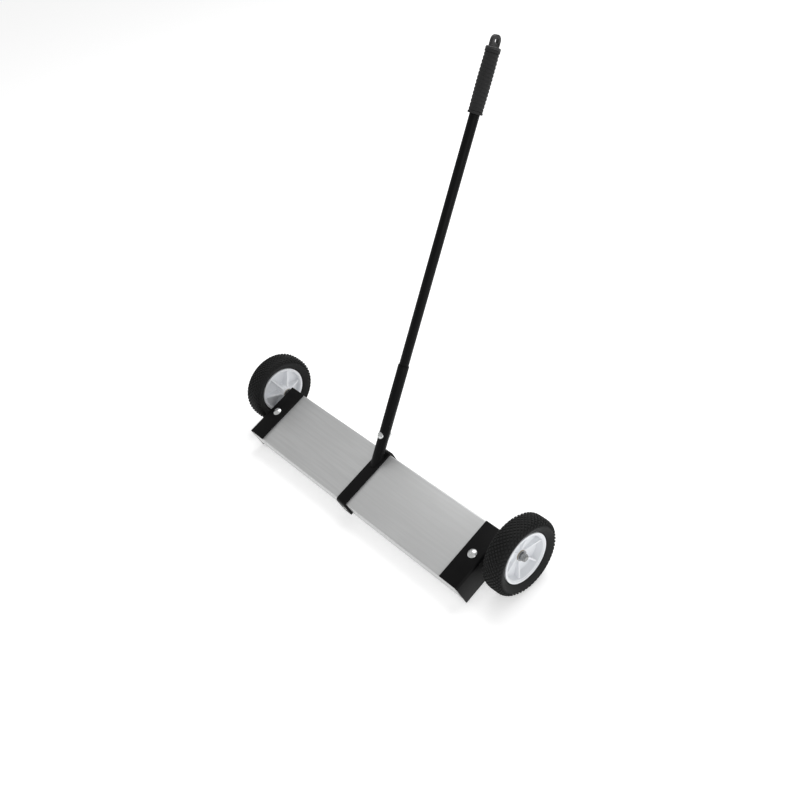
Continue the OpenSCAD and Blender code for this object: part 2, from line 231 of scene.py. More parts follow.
def pick(kind, test):
    """Selects, in edit mode, only the vertices, edges or faces that pass the test."""
    bpy.ops.mesh.select_mode(type={"verts": "VERT", "edges": "EDGE", "faces": "FACE"}[kind])
    bpy.ops.mesh.select_all(action="DESELECT")
    mesh = bpy.context.edit_object.data
    shape = bmesh.from_edit_mesh(mesh)
    chosen = [item for item in getattr(shape, kind) if test(item)]
    if not chosen:
        raise RuntimeError(f"no {kind} of {mesh.name} pass the test")
    for item in chosen:
        item.select_set(True)
    shape.select_flush_mode()
    bmesh.update_edit_mesh(mesh)


def middle(item):
    """Middle of an edge or a face."""
    return sum((v.co for v in item.verts), Vector()) / len(item.verts)


def apply_modifier(obj, kind, **settings):
    """Adds a modifier, sets it and applies it."""
    take(obj)
    modifier = obj.modifiers.new(kind.title(), kind)
    for name, value in settings.items():
        setattr(modifier, name, value)
    bpy.ops.object.modifier_apply(modifier=modifier.name)


def ease_edges(obj, width, segments=2, sharper_than=30):
    apply_modifier(obj, "BEVEL", width=width, segments=segments, limit_method="ANGLE",
                   angle_limit=radians(sharper_than), use_clamp_overlap=True,
                   miter_outer="MITER_ARC")


def combine(obj, tool, operation):
    """Cuts, joins or meets an object with a tool, which is used up."""
    apply_modifier(obj, "BOOLEAN", object=tool, operation=operation, solver="EXACT")
    bpy.data.objects.remove(tool)


def named(name):
    obj = bpy.context.object
    obj.name = obj.data.name = name
    return obj


def settle(obj):
    """Applies an object's place to its mesh."""
    take(obj)
    bpy.ops.object.transform_apply()
    return obj


def box(name, low, high):
    low, high = Vector(low), Vector(high)
    bpy.ops.mesh.primitive_cube_add(size=1, location=(low + high) / 2, scale=high - low)
    return settle(named(name))


def rod(name, radius, low, high, sides=64):
    """A cylinder about local Z from low to high."""
    bpy.ops.mesh.primitive_cylinder_add(vertices=sides, radius=radius, depth=high - low,
                                        location=(0, 0, (low + high) / 2))
    return settle(named(name))


def arc(radius, height, bend, start, stop, steps=6):
    """Outline points on an arc about (radius, height), from one angle in degrees to another."""
    turns = [radians(start + (stop - start) * i / steps) for i in range(steps + 1)]
    return [(radius + bend * cos(turn), height + bend * sin(turn)) for turn in turns]


def lathe(name, outline, steps=72, ring=False):
    """Draws an outline of (radius, height) points by extruding a vertex, and spins it about local Z.
    A ring's outline goes back to where it began."""
    bpy.ops.mesh.primitive_plane_add(size=MM, location=(0, 0, 0))
    obj = named(name)
    take(obj)
    bpy.ops.object.mode_set(mode="EDIT")
    bpy.ops.mesh.select_mode(type="VERT")
    bpy.ops.mesh.select_all(action="SELECT")
    bpy.ops.mesh.merge(type="CENTER")
    spots = [Vector((radius, 0, height)) for radius, height in outline]
    if ring:
        spots.append(spots[0])
    bpy.ops.transform.translate(value=spots[0])
    for here, there in zip(spots, spots[1:]):
        bpy.ops.mesh.extrude_region_move(TRANSFORM_OT_translate={"value": there - here})
    bpy.ops.mesh.select_all(action="SELECT")
    bpy.ops.mesh.remove_doubles(threshold=0.002 * MM)
    bpy.ops.mesh.select_all(action="SELECT")
    bpy.ops.mesh.spin(steps=steps, angle=2 * pi, center=(0, 0, 0), axis=(0, 0, 1))
    bpy.ops.mesh.select_all(action="SELECT")
    bpy.ops.mesh.remove_doubles(threshold=0.002 * MM)
    bpy.ops.mesh.normals_make_consistent(inside=False)
    leave()
    return obj


def folded_sheet(name, low, high, kept, fold, thickness):
    """Cuts away the sides of a box that aren't kept, rounds its folds and thickens it inwards."""
    obj = box(name, low, high)
    edit(obj)
    pick("faces", lambda face: not any(face.normal.dot(Vector(way)) > 0.9 for way in kept))
    bpy.ops.mesh.delete(type="FACE")
    pick("edges", lambda edge: len(edge.link_faces) == 2)
    bpy.ops.mesh.bevel(offset=fold, segments=8, affect="EDGES")
    leave()
    apply_modifier(obj, "SOLIDIFY", thickness=thickness, offset=-1, use_even_offset=True)
    return obj


def out_of_wall(side, x, y, z):
    """A space on the front (-1) or rear (1) wall of the housing, its Z pointing out of the wall."""
    return DECK @ Matrix.Translation((x, side * y, z)) @ Matrix.Rotation(-side * pi / 2, 4, "X")


def is_leg_corner(edge, low, high):
    """True for the short edges at the two lower corners of each leg."""
    spot, run = middle(edge), edge.verts[1].co - edge.verts[0].co
    return (abs(run.y) > 0.9 * run.length and spot.z < low.z + 0.1 * MM
            and abs(spot.x) > high.x - 0.1 * MM)


def moved(obj, space):
    """Moves an object's mesh from a local space into the one around it."""
    obj.matrix_world = space @ obj.matrix_world
    return settle(obj)


def copied(obj, name):
    """A copy with its own mesh."""
    twin = obj.copy()
    twin.data = obj.data.copy()
    twin.name = twin.data.name = name
    bpy.context.collection.objects.link(twin)
    return twin


def complete(obj, space, slot, *nodes, body="frame", smooth=35, look=""):
    """Puts a finished piece in the world, smooths it, gives it its slot's look or another one,
    and hands it to a body."""
    if not obj.data.polygons:
        raise RuntimeError(obj.name + " came out empty")
    moved(obj, space)
    bpy.ops.object.shade_smooth_by_angle(angle=radians(smooth))
    obj.data.materials.clear()
    obj.data.materials.append(finish(look or slot))
    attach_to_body(obj, body)
    if nodes:
        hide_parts(*nodes)


def thread(radius, low, high, pitch, depth=0.0005):
    """Outline points up a rod whose rings stand for a thread, from low to high."""
    count = max(1, int((high - low) / pitch))
    step = (high - low) / count
    points = []
    for i in range(count):
        start = low + i * step
        points += [(radius - depth, start), (radius, start + 0.4 * step),
                   (radius, start + 0.6 * step)]
    return points + [(radius - depth, high)]


def hexagon(name, corner, low, high, chamfers=(True, True)):
    """A hexagon bar whose corners are turned off at each chamfered end."""
    over = 1 * MM
    obj = rod(name, corner, low - over, high + over, sides=6)
    flat = corner * cos(pi / 6)
    face, wide = 0.94 * flat, 1.05 * corner
    slope = (wide - face) * tan(radians(30))
    outline = [(0, low), (face, low), (wide, low + slope)] if chamfers[0] else \
        [(0, low), (wide, low)]
    outline += [(wide, high - slope), (face, high), (0, high)] if chamfers[1] else \
        [(wide, high), (0, high)]
    combine(obj, lathe("turned", outline, steps=96), "INTERSECT")
    return obj


def bored(obj, radius, low, high, ease=0.6 * MM):
    """Bores an object along local Z, with a countersunk mouth at both ends."""
    over = 1 * MM
    outline = [(0, low - over), (radius + ease + over, low - over), (radius, low + ease),
               (radius, high - ease), (radius + ease + over, high + over), (0, high + over)]
    combine(obj, lathe("drill", outline, steps=48), "DIFFERENCE")
    return obj


def washer(name, radius, bore, low, high):
    obj = lathe(name, [(bore, low), (radius, low), (radius, high), (bore, high)], ring=True)
    ease_edges(obj, 0.25 * (high - low), segments=3)
    return obj


def dome(radius, height, base=0.0, lip=0.0006, steps=10):
    """Outline points of a domed head, from its rim's foot to its crown."""
    rise = height - lip
    ball = (radius * radius + rise * rise) / (2 * rise)
    edge = asin(radius / ball)
    turns = [edge * (1 - i / steps) for i in range(steps + 1)]
    crown = [(ball * sin(turn), base + height - ball + ball * cos(turn)) for turn in turns]
    return [(radius, base)] + crown[:-1] + [(0, base + height)]


# ---- Materials ----


def attach(tree, socket, value):
    """Links a socket to another one, or gives it a value."""
    if isinstance(value, bpy.types.NodeSocket):
        tree.links.new(value, socket)
    else:
        socket.default_value = value


def feed(tree, node, **inputs):
    for name, value in inputs.items():
        attach(tree, node.inputs[name.replace("_", " ")], value)


def put(tree, kind, **inputs):
    """Adds a node and sets its inputs by name, each from a value or from another node's socket."""
    node = tree.nodes.new("ShaderNode" + kind)
    feed(tree, node, **inputs)
    return node


def reckon(tree, operation, *values, kind="Math"):
    """Result of one operation on numbers, or on vectors with the kind VectorMath."""
    node = put(tree, kind)
    node.operation = operation
    for socket, value in zip(node.inputs, values):
        attach(tree, socket, value)
    return node.outputs[0]


def noise(tree, place, scale, detail, rough=0.5):
    node = put(tree, "TexNoise", Vector=place, Scale=scale, Detail=detail, Roughness=rough)
    return node.outputs["Fac"]


def spread(tree, value, low, high, out_low=0.0, out_high=1.0):
    """Maps a range of values onto another, smoothly."""
    node = put(tree, "MapRange", Value=value, From_Min=low, From_Max=high,
               To_Min=out_low, To_Max=out_high)
    node.interpolation_type = "SMOOTHSTEP"
    return node.outputs["Result"]


def blend_colours(tree, factor, first, second):
    node = tree.nodes.new("ShaderNodeMix")
    node.data_type = "RGBA"
    for number, value in ((0, factor), (6, first), (7, second)):
        attach(tree, node.inputs[number], value)
    return node.outputs[2]


def effect(name, numbers, outputs):
    """Starts a shader node group with number inputs and outputs; returns its tree, inputs and end."""
    tree = bpy.data.node_groups.new(name, "ShaderNodeTree")
    for label, default in numbers.items():
        socket = tree.interface.new_socket(name=label, in_out="INPUT",
                                           socket_type="NodeSocketFloat")
        socket.default_value = default
    for label in outputs:
        tree.interface.new_socket(name=label, in_out="OUTPUT", socket_type="NodeSocketFloat")
    return tree, tree.nodes.new("NodeGroupInput").outputs, tree.nodes.new("NodeGroupOutput")


def use(tree, name, **numbers):
    """Places one of the shared effects in a material with its own numbers."""
    node = tree.nodes.new("ShaderNodeGroup")
    node.node_tree = bpy.data.node_groups.get(name) or EFFECTS[name](name)
    feed(tree, node, **numbers)
    return node.outputs


def grain_effect(name):
    """Fine grain with broad, soft patches behind it."""
    tree, inputs, end = effect(name, {"Fine": 600.0, "Broad": 12.0}, ("Fine", "Broad"))
    place = put(tree, "TexCoord").outputs["Object"]
    feed(tree, end, Fine=noise(tree, place, inputs["Fine"], 3.0, 0.55),
         Broad=noise(tree, place, inputs["Broad"], 2.0))
    return tree


def brushing_effect(name):
    """Lines drawn out along X, as a belt leaves them on sheet metal."""
    tree, inputs, end = effect(name, {"Spacing": 900.0, "Length": 8.0}, ("Lines", "Streaks"))
    place = put(tree, "TexCoord").outputs["Object"]
    for label, share in (("Lines", 1.0), ("Streaks", 0.12)):
        across = reckon(tree, "MULTIPLY", inputs["Spacing"], share)
        scale = put(tree, "CombineXYZ", X=inputs["Length"], Y=across, Z=across).outputs[0]
        drawn = reckon(tree, "MULTIPLY", place, scale, kind="VectorMath")
        feed(tree, end, **{label: noise(tree, drawn, 1.0, 3.0, 0.6)})
    return tree


def dust_effect(name):
    """A thin film on what faces up, broken up by soft noise."""
    tree, inputs, end = effect(name, {"Amount": 0.3, "Patches": 25.0}, ("Mask",))
    place = put(tree, "TexCoord")
    height = put(tree, "SeparateXYZ", Vector=place.outputs["Normal"]).outputs["Z"]
    facing = spread(tree, height, 0.1, 1.0)
    cloud = noise(tree, place.outputs["Object"], inputs["Patches"], 5.0, 0.65)
    both = reckon(tree, "MULTIPLY", facing, spread(tree, cloud, 0.35, 0.75, 0.15, 1.0))
    feed(tree, end, Mask=reckon(tree, "MULTIPLY", both, inputs["Amount"]))
    return tree


def scuff_effect(name):
    """Short, sparse scratches in all directions."""
    tree, inputs, end = effect(name, {"Scale": 60.0, "Width": 0.02}, ("Mask",))
    place = put(tree, "TexCoord").outputs["Object"]
    warp = noise(tree, place, inputs["Scale"], 2.0)
    near = reckon(tree, "ABSOLUTE", reckon(tree, "SUBTRACT", warp, 0.5))
    thin = put(tree, "MapRange", Value=near, From_Min=0.0, From_Max=inputs["Width"], To_Min=1.0,
               To_Max=0.0)
    some = spread(tree, noise(tree, place, 30.0, 1.0), 0.55, 0.7)
    feed(tree, end, Mask=reckon(tree, "MULTIPLY", thin.outputs[0], some))
    return tree


EFFECTS = {"Grain": grain_effect, "Brushing": brushing_effect, "Dust": dust_effect,
           "Scuffs": scuff_effect}


def blank(name, **shader):
    """A material with one Principled shader, and its tree and shader."""
    material = bpy.data.materials.new(name)
    material.use_nodes = True
    tree = material.node_tree
    tree.nodes.clear()
    principled = put(tree, "BsdfPrincipled", **shader)
    put(tree, "OutputMaterial", Surface=principled.outputs[0])
    return material, tree, principled


def bump(tree, shader, height, depth, strength):
    node = put(tree, "Bump", Height=height, Distance=depth, Strength=strength)
    feed(tree, shader, Normal=node.outputs["Normal"])


def surface(tree, shader, colour, pattern, rough, depth, strength):
    """Gives a shader its colour, and roughness and relief that follow one fine pattern."""
    feed(tree, shader, Base_Color=colour, Roughness=spread(tree, pattern, 0.3, 0.7, *rough))
    bump(tree, shader, pattern, depth, strength)


def shade(tint, share):
    return (*(min(1.0, part * share) for part in tint[:3]), 1.0)


def brushed_aluminium(name, tint):
    material, tree, shader = blank(name, Metallic=0.6)
    brushing = use(tree, "Brushing", Spacing=1500.0, Length=7.0)
    grain = use(tree, "Grain", Fine=500.0, Broad=5.0)
    streaks = spread(tree, brushing["Streaks"], 0.3, 0.7)
    lines = blend_colours(tree, streaks, shade(tint, 0.95), shade(tint, 1.04))
    patches = spread(tree, grain["Broad"], 0.35, 0.65, 0.0, 0.5)
    colour = blend_colours(tree, patches, lines, shade(tint, 0.93))
    surface(tree, shader, colour, brushing["Lines"], (0.36, 0.48), 0.00004, 0.5)
    return material


def powder_coat(name, tint):
    material, tree, shader = blank(name, Specular_IOR_Level=0.12)
    grain = use(tree, "Grain", Fine=900.0, Broad=18.0)
    dust = use(tree, "Dust", Amount=0.03, Patches=40.0)["Mask"]
    scuffs = use(tree, "Scuffs", Scale=45.0, Width=0.012)["Mask"]
    mottled = blend_colours(tree, grain["Broad"], shade(tint, 0.8), shade(tint, 1.25))
    dusty = blend_colours(tree, dust, mottled, (0.05, 0.048, 0.045, 1))
    rough = spread(tree, grain["Broad"], 0.3, 0.7, 0.38, 0.50)
    feed(tree, shader, Base_Color=blend_colours(tree, scuffs, dusty, shade(tint, 2.2)),
         Roughness=reckon(tree, "ADD", rough, dust))
    bump(tree, shader, grain["Fine"], 0.00010, 0.6)
    return material


def bright_zinc(name, tint):
    material, tree, shader = blank(name, Metallic=1.0)
    grain = use(tree, "Grain", Fine=1400.0, Broad=160.0)
    cast = spread(tree, grain["Broad"], 0.35, 0.65)
    warmer = (tint[0], tint[1], tint[2] * 0.97, 1)
    colour = blend_colours(tree, cast, shade(tint, 0.88), warmer)
    surface(tree, shader, colour, grain["Fine"], (0.20, 0.32), 0.00003, 0.5)
    return material


def mill_steel(name, tint):
    material, tree, shader = blank(name, Metallic=1.0)
    brushing = use(tree, "Brushing", Spacing=400.0, Length=20.0)
    scuffs = use(tree, "Scuffs", Scale=80.0, Width=0.02)["Mask"]
    rolled = blend_colours(tree, brushing["Streaks"], shade(tint, 0.75), shade(tint, 1.1))
    colour = blend_colours(tree, scuffs, rolled, shade(tint, 1.5))
    surface(tree, shader, colour, brushing["Lines"], (0.35, 0.6), 0.00005, 0.6)
    return material


def ferrite(name, tint):
    material, tree, shader = blank(name, Specular_IOR_Level=0.4)
    grain = use(tree, "Grain", Fine=1800.0, Broad=70.0)
    colour = blend_colours(tree, grain["Broad"], shade(tint, 0.7), shade(tint, 1.3))
    surface(tree, shader, colour, grain["Fine"], (0.55, 0.8), 0.00006, 0.8)
    return material


def moulded(name, tint, fine, depth, roughness, dust, specular):
    """Rubber or plastic: a moulded skin with soft patches and a little dust."""
    material, tree, shader = blank(name, Specular_IOR_Level=specular)
    grain = use(tree, "Grain", Fine=fine, Broad=35.0)
    film = use(tree, "Dust", Amount=dust, Patches=60.0)["Mask"]
    skin = blend_colours(tree, grain["Broad"], shade(tint, 0.88), shade(tint, 1.1))
    colour = blend_colours(tree, film, skin, (0.16, 0.155, 0.145, 1))
    surface(tree, shader, colour, grain["Fine"], roughness, depth, 0.7)
    return material


def tyre_rubber(name, tint):
    return moulded(name, tint, 700.0, 0.00012, (0.52, 0.68), 0.03, 0.11)


def hub_plastic(name, tint):
    material, tree, shader = blank(name, Specular_IOR_Level=0.5)
    grain = use(tree, "Grain", Fine=1100.0, Broad=30.0)
    dirt = use(tree, "Dust", Amount=0.05, Patches=80.0)["Mask"]
    scuffs = use(tree, "Scuffs", Scale=70.0, Width=0.014)["Mask"]
    skin = blend_colours(tree, grain["Broad"], shade(tint, 0.94), shade(tint, 1.04))
    marked = blend_colours(tree, scuffs, skin, shade(tint, 0.82))
    colour = blend_colours(tree, dirt, marked, (0.35, 0.33, 0.30, 1))
    surface(tree, shader, colour, grain["Fine"], (0.36, 0.46), 0.00004, 0.5)
    return material


def sintered_bronze(name, tint):
    material, tree, shader = blank(name, Metallic=1.0)
    grain = use(tree, "Grain", Fine=2200.0, Broad=90.0)
    pores = spread(tree, grain["Fine"], 0.3, 0.45)
    oil = spread(tree, grain["Broad"], 0.4, 0.6, 0.28, 0.5)
    feed(tree, shader, Base_Color=blend_colours(tree, pores, shade(tint, 0.45), tint),
         Roughness=oil)
    bump(tree, shader, grain["Fine"], 0.00005, 0.8)
    return material


def grip_rubber(name, tint):
    return moulded(name, tint, 1500.0, 0.00008, (0.6, 0.78), 0.03, 0.35)


def cap_plastic(name, tint):
    return moulded(name, tint, 1300.0, 0.00006, (0.42, 0.55), 0.03, 0.45)


FINISHES = {
    "brushed_aluminium": (brushed_aluminium, "aluminium"),
    "black_paint": (powder_coat, "paint"),
    "zinc": (bright_zinc, "zinc"),
    # Painted shade: the axle nuts, bolts and washers take the darker zinc
    "dull_zinc": (bright_zinc, "dull_zinc"),
    "plain_steel": (mill_steel, "steel"),
    "magnet": (ferrite, "ferrite"),
    "tyre_rubber": (tyre_rubber, "rubber"),
    "hub_plastic": (hub_plastic, "hub"),
    "bearing_bronze": (sintered_bronze, "bronze"),
    "grip_rubber": (grip_rubber, "grip"),
    "cap_plastic": (cap_plastic, "cap"),
}


def finish(slot):
    """The material of one of the record's slots, built when first asked for."""
    maker, tint = FINISHES[slot]
    name = "finish_" + slot
    tints = bpy.context.scene.sweeper_colours
    return bpy.data.materials.get(name) or maker(name, (*getattr(tints, tint), 1.0))


# ---- The pieces ----


def fold_tray(sizes):
    low, high = extent("bottom_tray", DECK)
    tray = folded_sheet("bottom_tray_sheet", low, high,
                        [(0, 0, -1), (0, 1, 0), (0, -1, 0)],
                        sizes.cover_fold, sizes.sheet)
    ease_edges(tray, 0.2 * MM, sharper_than=60)
    complete(tray, DECK, "brushed_aluminium", "bottom_tray")


def set_rivets():
    low, high = extent("tray_rivets", DECK)
    wall = extent("deck_cover", DECK)[1].y
    radius, height = (high.z - low.z) / 2, high.y - wall
    shank, pit = radius / 2, 0.8 * MM
    rivet = lathe("rivet", [(0, -3 * MM), (shank, -3 * MM), (shank, 0)]
                  + [spot for spot in dome(radius, height, lip=0.2 * MM) if spot[0] > pit]
                  + [(pit, height - 0.1 * MM), (0.9 * pit, height / 2), (0, height / 2)],
                  steps=32)
    grid = 20 * MM
    inverse = DECK.inverted()
    columns = sorted({round((inverse @ v.co).x / grid)
                      for v in frame["nodes"]["tray_rivets"].data.vertices})
    for number, column in enumerate(columns):
        for side, wall_name in ((-1, "front"), (1, "rear")):
            place = out_of_wall(side, column * grid, wall, (low.z + high.z) / 2)
            twin = copied(rivet, f"rivet_{wall_name}_{number + 1}")
            complete(twin, place, "zinc", "tray_rivets")
    bpy.data.objects.remove(rivet)


class SWEEPER_OT_housing(bpy.types.Operator):
    """Folds the deck cover and the bottom tray, and rivets them together"""
    bl_idname = "sweeper.housing"
    bl_label = "Housing"

    def execute(self, context):
        sizes = context.scene.sweeper_sizes
        low, high = extent("deck_cover", DECK)
        cover = folded_sheet("deck_cover_sheet", low, high, [(0, 0, 1), (0, 1, 0), (0, -1, 0)],
                             sizes.cover_fold, sizes.sheet)
        ease_edges(cover, 0.2 * MM, sharper_than=60)
        complete(cover, DECK, "brushed_aluminium", "deck_cover")
        fold_tray(sizes)
        set_rivets()
        return {"FINISHED"}


class SWEEPER_OT_magnet_pack(bpy.types.Operator):
    """Finishes the magnets, pole bars and plates inside the closed housing"""
    bl_idname = "sweeper.magnet_pack"
    bl_label = "Magnet pack"

    def execute(self, context):
        inner = {"magnet_blocks": "magnet", "front_pole_bar": "plain_steel",
                 "rear_pole_bar": "plain_steel", "backing_plate": "plain_steel",
                 "spacer_tubes": "plain_steel", "deck_washers": "zinc", "deck_nuts": "zinc",
                 "saddle_nuts": "zinc"}
        for node, slot in inner.items():
            frame["nodes"][node].material_slots[0].material = finish(slot)
        return {"FINISHED"}


class SWEEPER_OT_brackets(bpy.types.Operator):
    """Bends the two end brackets from angle steel"""
    bl_idname = "sweeper.brackets"
    bl_label = "End brackets"

    def execute(self, context):
        sizes = context.scene.sweeper_sizes
        for side, name in SIDES.items():
            low, high = extent(name + "_bracket", DECK)
            bracket = folded_sheet(name + "_end_bracket", low, high, [(0, 0, 1), (side, 0, 0)],
                                   sizes.bracket_bend, sizes.bracket_steel)
            ease_edges(bracket, sizes.steel_edge, segments=3, sharper_than=60)
            complete(bracket, DECK, "black_paint", name + "_bracket")
        return {"FINISHED"}


class SWEEPER_OT_flange_bolts(bpy.types.Operator):
    """Sets a domed bolt in the flange of each bracket"""
    bl_idname = "sweeper.flange_bolts"
    bl_label = "Flange bolts"

    def execute(self, context):
        for side, name in SIDES.items():
            low, high = extent("deck_bolts", DECK, side)
            flange = extent(name + "_bracket", DECK)[1].z
            radius = (high.x - low.x) / 2
            shank, tip = 0.475 * radius, 0.8 * MM
            outline = [(0, low.z), (shank - tip, low.z), (shank, low.z + tip), (shank, flange)]
            bolt = lathe(name + "_flange_bolt",
                         outline + dome(radius, high.z - flange, flange, steps=16), steps=64)
            seat = Matrix.Translation(((low.x + high.x) / 2, (low.y + high.y) / 2, 0))
            complete(bolt, DECK @ seat, "zinc", "deck_bolts")
        return {"FINISHED"}


class SWEEPER_OT_saddle(bpy.types.Operator):
    """Bends the saddle over the deck and screws its legs to the walls"""
    bl_idname = "sweeper.saddle"
    bl_label = "Saddle"

    def execute(self, context):
        sizes = context.scene.sweeper_sizes
        low, high = extent("handle_saddle", DECK)
        saddle = folded_sheet("saddle_bar", low, high, [(0, 0, 1), (0, 1, 0), (0, -1, 0)],
                              sizes.saddle_bend, sizes.saddle_steel)
        edit(saddle)
        pick("edges", lambda edge: is_leg_corner(edge, low, high))
        bpy.ops.mesh.bevel(offset=sizes.leg_corner, segments=6, affect="EDGES")
        leave()
        screw_low, screw_high = extent("saddle_screws", DECK)
        radius = (screw_high.z - screw_low.z) / 2
        for side, name in ((-1, "front"), (1, "rear")):
            seat = out_of_wall(side, 0, high.y, (screw_low.z + screw_high.z) / 2)
            into_deck = DECK.inverted() @ seat
            sink = lathe("sink", [(0, -9 * MM), (radius / 2, -9 * MM), (radius / 2, -radius / 2),
                                  (radius + 0.15 * MM, 0), (radius + 0.15 * MM, 1 * MM),
                                  (0, 1 * MM)], steps=48)
            combine(saddle, moved(sink, into_deck), "DIFFERENCE")
            screw = lathe("saddle_screw_" + name,
                          [(0, -14 * MM), (radius / 2 - 0.5 * MM, -14 * MM)]
                          + thread(radius / 2, -13.5 * MM, -radius / 2, 1 * MM, 0.3 * MM)
                          + [(radius - 0.1 * MM, -0.35 * MM), (radius - 0.1 * MM, -0.05 * MM),
                             (0, -0.05 * MM)], steps=48)
            combine(screw, rod("key", 0.38 * radius, -2.4 * MM, 1 * MM, sides=6), "DIFFERENCE")
            complete(screw, seat, "zinc", "saddle_screws")
        ease_edges(saddle, sizes.steel_edge, segments=3, sharper_than=50)
        complete(saddle, DECK, "black_paint", "handle_saddle")
        return {"FINISHED"}


def weld_socket(sizes, radius, plate):
    """A rippled bead round the slanted foot of the socket."""
    lean = (DECK.inverted() @ HANDLE).to_3x3() @ Vector((0, 0, 1))
    around, across = 108, 12
    bpy.ops.mesh.primitive_torus_add(major_radius=radius, minor_radius=sizes.weld_bead,
                                     major_segments=around, minor_segments=across)
    bead = named("weld_bead")
    edit(bead, "VERT")
    pick("verts", lambda vertex: vertex.index // across % 3 == 0)
    bpy.ops.transform.shrink_fatten(value=-0.22 * MM)
    bpy.ops.mesh.select_all(action="SELECT")
    bpy.ops.transform.resize(value=(1, 1 / lean.z, 1), center_override=(0, 0, 0))
    leave()
    foot = (DECK.inverted() @ HANDLE).translation
    complete(bead, DECK @ Matrix.Translation((0, foot.y, plate)), "black_paint", smooth=60)


def bolt_socket(sizes, tube):
    """A domed bolt through socket and handle, on washers hollowed to fit the tube."""
    low, high = extent("socket_bolt", HANDLE)
    place = HANDLE @ Matrix.Translation((0, 0, (low.z + high.z) / 2))
    place @= Matrix.Rotation(pi / 2, 4, "X")
    low, high = extent("socket_bolt", place)
    radius, shank = high.x, 3 * MM
    nut_low, nut_high = extent("socket_nut", place)
    bolt = lathe("socket_bolt_domed",
                 [(0, low.z), (shank - 0.6 * MM, low.z)]
                 + thread(shank, low.z + 0.6 * MM, nut_high.z, 1 * MM, 0.3 * MM)
                 + [(shank, tube)] + dome(radius, high.z - tube, tube, steps=14), steps=48)
    combine(bolt, rod("key", 2.4 * MM, high.z - 2 * MM, high.z + 2 * MM, sides=6), "DIFFERENCE")
    complete(bolt, place, "zinc", "socket_bolt")
    nut = hexagon("socket_bolt_nut", nut_high.x, nut_low.z, nut_high.z)
    bored(nut, shank, nut_low.z, nut_high.z)
    complete(nut, place, "zinc", "socket_nut")
    for name, start, end, replaced in (
            ("socket_washer_front", 0.6 * tube, tube, ()),
            ("socket_washer_rear", nut_high.z, -0.6 * tube, ("socket_washer",))):
        ring = washer(name, radius, shank + 0.2 * MM, start, end)
        pipe = moved(rod("pipe", tube, -20 * MM, 20 * MM, sides=144),
                     Matrix.Rotation(pi / 2, 4, "X"))
        combine(ring, pipe, "DIFFERENCE")
        complete(ring, place, "zinc", *replaced)


class SWEEPER_OT_socket(bpy.types.Operator):
    """Welds the socket to the saddle and bolts the handle into it"""
    bl_idname = "sweeper.socket"
    bl_label = "Handle socket"

    def execute(self, context):
        sizes = context.scene.sweeper_sizes
        radius, top = extent("handle_socket", HANDLE)[1].xz
        bore = extent("handle_tube", HANDLE)[1].x + 0.1 * MM
        foot = -2 * radius
        socket = lathe("socket_tube", [(bore, foot), (radius, foot), (radius, top), (bore, top)],
                       ring=True)
        plate = extent("handle_saddle", DECK)[1].z
        under = box("under", (-2 * radius, -5 * radius, -5 * radius), (2 * radius, 9 * radius, plate))
        combine(socket, moved(under, HANDLE.inverted() @ DECK), "DIFFERENCE")
        ease_edges(socket, sizes.steel_edge, segments=3, sharper_than=60)
        complete(socket, HANDLE, "black_paint", "handle_socket")
        weld_socket(sizes, radius, plate)
        bolt_socket(sizes, radius)
        return {"FINISHED"}


class SWEEPER_OT_handle(bpy.types.Operator):
    """Draws the handle tube"""
    bl_idname = "sweeper.handle"
    bl_label = "Handle tube"

    def execute(self, context):
        sizes = context.scene.sweeper_sizes
        low, high = extent("handle_tube", HANDLE)
        radius, wall = high.x, sizes.tube_wall
        tube = lathe("handle_bar", [(radius - wall, low.z), (radius, low.z), (radius, high.z),
                                    (radius - wall, high.z)], ring=True)
        ease_edges(tube, 0.3 * MM, sharper_than=60)
        complete(tube, HANDLE, "black_paint", "handle_tube")
        return {"FINISHED"}


def mould_grip(sizes, tube, radius, low, high):
    collar, lip = 5 * MM, 1.2 * MM
    ring, belly = 1.1 * MM, 0.7 * MM
    core = radius - ring - belly
    start, end = low + collar, high - collar
    outline = [(tube, low), (radius - lip, low)]
    outline += arc(radius - lip, low + lip, lip, -90, 0, 4)
    outline += arc(radius - lip, start - lip, lip, 0, 90, 4)
    count = 8 * sizes.grip_rings
    for i in range(count + 1):
        share = i / count
        swell = belly * sin(pi * share) + ring * abs(sin(pi * share * sizes.grip_rings))
        outline.append((core + swell, start + (end - start) * share))
    outline += arc(radius - lip, end + lip, lip, -90, 0, 4)
    outline += arc(radius - lip, high - lip, lip, 0, 90, 4)
    outline.append((tube, high))
    return lathe("hand_grip_ringed", outline, steps=96, ring=True)


def mould_cap(radius, foot, plug):
    """A collar with a plug in the tube, and a tongue with a round end and a hole."""
    low, top = heights("end_cap", HANDLE)
    hole = mount("hang_hole")
    hang = (HANDLE.inverted() @ Vector(hole["pos_m"])).z
    bore, half = hole["dims"]["r_mm"] * MM, hole["dims"]["length_mm"] * MM / 2
    end, collar = top - hang, 6 * MM
    across = Matrix.Translation((0, 0, hang)) @ Matrix.Rotation(pi / 2, 4, "Y")
    tongue = box("tongue", (-half, -end, foot + collar / 2), (half, end, hang))
    combine(tongue, moved(rod("round", end, -half, half, sides=96), across), "UNION")
    combine(tongue, moved(rod("hole", bore, -2 * half, 2 * half), across), "DIFFERENCE")
    ease_edges(tongue, 1.3 * MM, segments=4, sharper_than=50)
    cap = lathe("end_cap_hanging", [(0, low), (plug - 1 * MM, low), (plug, low + 1 * MM),
                                    (plug, foot), (radius - 0.6 * MM, foot),
                                    (radius, foot + 0.6 * MM)]
                + arc(radius - 3 * MM, foot + collar - 3 * MM, 3 * MM, 0, 90, 8)
                + [(0, foot + collar)], steps=96)
    combine(cap, tongue, "UNION")
    return cap


